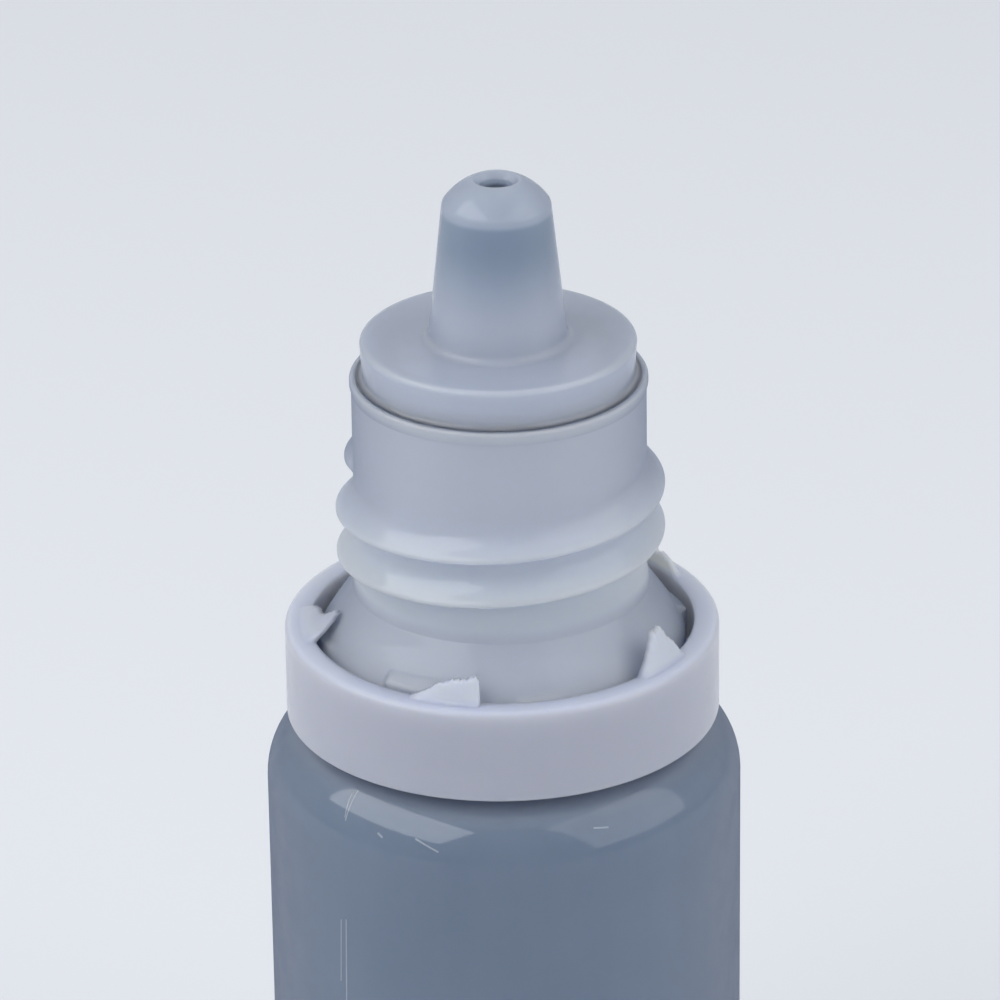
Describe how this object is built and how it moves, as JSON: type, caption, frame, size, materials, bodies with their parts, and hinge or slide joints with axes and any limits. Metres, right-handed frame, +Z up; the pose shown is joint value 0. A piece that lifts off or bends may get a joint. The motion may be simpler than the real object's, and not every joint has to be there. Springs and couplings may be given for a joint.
{
  "type": "eye drop bottle",
  "caption": "Uncapped squeeze bottle for eye drops: round translucent body, threaded neck, domed dropper insert and a loose tamper ring with torn bridges.",
  "frame": {"origin": "middle of the bottle's foot, on the surface it stands on", "axes": "+Z up along the bottle's axis towards the nozzle; -Y is the side that the reference view looks at"},
  "size_m": [0.022, 0.022, 0.0618],
  "materials": {
    "bottle_plastic": "milky translucent low-density polyethylene, satin from the mould",
    "ring_plastic": "opaque white polyethylene with a soft sheen",
    "insert_plastic": "milky translucent low-density polyethylene, smooth"
  },
  "bodies": {
    "bottle": {"bottle": "bottle_plastic"},
    "ring": {"tamper_ring": "ring_plastic"},
    "insert": {"dropper_insert": "insert_plastic"}
  },
  "joints": [
    {"name": "ring_spin", "type": "hinge", "parent": "bottle", "child": "ring", "pos_m": [0, 0, 0.038], "axis": [0, 0, 1], "continuous": true},
    {"name": "insert_pull", "type": "slide", "parent": "bottle", "child": "insert", "axis": [0, 0, 1], "range_m": [0, 0.012]}
  ]
}
